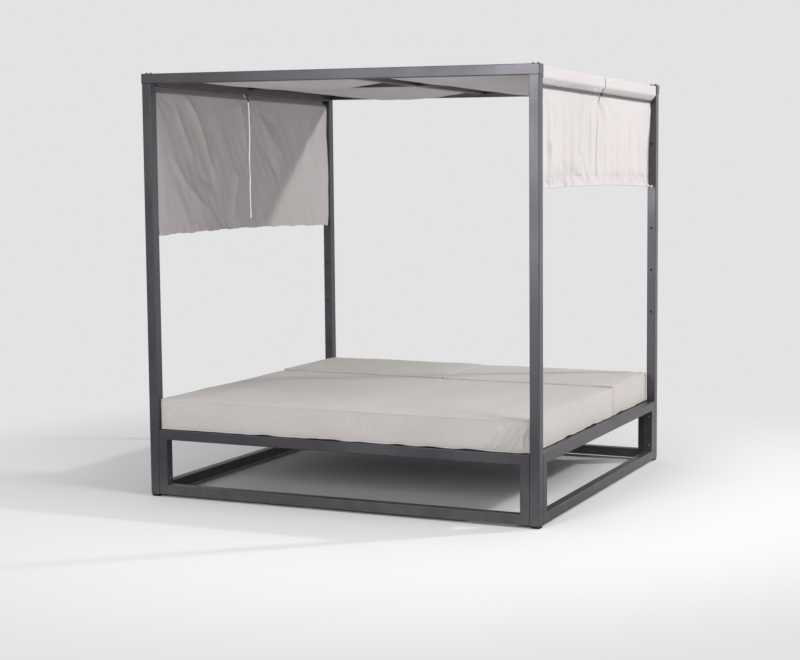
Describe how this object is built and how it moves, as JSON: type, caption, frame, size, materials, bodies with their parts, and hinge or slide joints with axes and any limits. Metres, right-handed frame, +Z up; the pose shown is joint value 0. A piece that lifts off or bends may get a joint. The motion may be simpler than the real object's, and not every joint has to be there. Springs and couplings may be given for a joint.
{
  "type": "outdoor daybed with canopy",
  "caption": "Square-tube outdoor daybed with a draped canopy sheet, a front cushion and two reclining rear cushions on notched racks.",
  "frame": {"origin": "on the floor, under the middle of the four posts", "axes": "+X to the right along the open front, +Y from the front to the reclining rear cushions, +Z up"},
  "size_m": [2.1666, 1.882, 2.1713],
  "materials": {
    "frame_paint": "fine-textured powder coat, dark warm grey",
    "platform_paint": "fine-textured powder coat, darker grey",
    "black_plastic": "matt moulded",
    "bolt_steel": "dull stainless",
    "tie_cord": "braided cord with light plastic peg",
    "shade_fabric": "woven shade cloth, slightly translucent",
    "cushion_fabric": "woven outdoor fabric with piped edges"
  },
  "bodies": {
    "frame": {"post_front_left": "frame_paint", "foot_front_left": "black_plastic", "beam_cap_front_left": "black_plastic", "beam_bolt_front_left_a": "bolt_steel", "beam_bolt_front_left_b": "bolt_steel", "curtain_tie_front_left": "tie_cord", "post_front_right": "frame_paint", "foot_front_right": "black_plastic", "beam_cap_front_right": "black_plastic", "beam_bolt_front_right_a": "bolt_steel", "beam_bolt_front_right_b": "bolt_steel", "curtain_tie_front_right": "tie_cord", "post_rear_left": "frame_paint", "foot_rear_left": "black_plastic", "beam_cap_rear_left": "black_plastic", "beam_bolt_rear_left_a": "bolt_steel", "beam_bolt_rear_left_b": "bolt_steel", "curtain_tie_rear_left": "tie_cord", "post_rear_right": "frame_paint", "foot_rear_right": "black_plastic", "beam_cap_rear_right": "black_plastic", "beam_bolt_rear_right_a": "bolt_steel", "beam_bolt_rear_right_b": "bolt_steel", "curtain_tie_rear_right": "tie_cord", "beam_front": "frame_paint", "beam_rear": "frame_paint", "base_frame_front": "frame_paint", "base_frame_rear": "frame_paint", "base_frame_left": "frame_paint", "base_frame_right": "frame_paint", "side_bar_left": "frame_paint", "side_bar_right": "frame_paint", "cross_bar_left": "frame_paint", "cross_bar_right": "frame_paint", "centre_bar": "frame_paint", "guide_rod_left": "frame_paint", "guide_rod_right": "frame_paint", "rod_hanger_left": "frame_paint", "rod_hanger_right": "frame_paint", "rack_channel_left": "platform_paint", "rack_channel_right": "platform_paint", "hinge_crossbar": "platform_paint", "centre_bearer_front": "platform_paint", "centre_bearer_rear": "platform_paint", "seat_platform": "platform_paint", "hinge_pin_left_inner": "bolt_steel", "hinge_pin_left_outer": "bolt_steel", "hinge_pin_right_inner": "bolt_steel", "hinge_pin_right_outer": "bolt_steel", "canopy_sheet": "shade_fabric", "cushion_front": "cushion_fabric"},
    "backrest_left": {"backrest_frame_left": "platform_paint", "cushion_rear_left": "cushion_fabric"},
    "prop_left": {"backrest_prop_left": "platform_paint"},
    "backrest_right": {"backrest_frame_right": "platform_paint", "cushion_rear_right": "cushion_fabric"},
    "prop_right": {"backrest_prop_right": "platform_paint"}
  },
  "joints": [
    {"name": "backrest_left_hinge", "type": "hinge", "parent": "frame", "child": "backrest_left", "pos_m": [-0.516, 0.295, 0.339], "axis": [1, 0, 0], "range_deg": [0, 60], "deforming": ["cushion_rear_left"]},
    {"name": "prop_left_pivot", "type": "hinge", "parent": "backrest_left", "child": "prop_left", "pos_m": [-0.516, 0.5575, 0.306], "axis": [1, 0, 0], "range_deg": [-120, 0]},
    {"name": "backrest_right_hinge", "type": "hinge", "parent": "frame", "child": "backrest_right", "pos_m": [0.516, 0.295, 0.339], "axis": [1, 0, 0], "range_deg": [0, 60], "deforming": ["cushion_rear_right"]},
    {"name": "prop_right_pivot", "type": "hinge", "parent": "backrest_right", "child": "prop_right", "pos_m": [0.516, 0.5575, 0.306], "axis": [1, 0, 0], "range_deg": [-120, 0]}
  ],
  "couplings": [
    {"joint": "prop_left_pivot", "follows": "backrest_left_hinge", "ratio": -2},
    {"joint": "prop_right_pivot", "follows": "backrest_right_hinge", "ratio": -2}
  ]
}
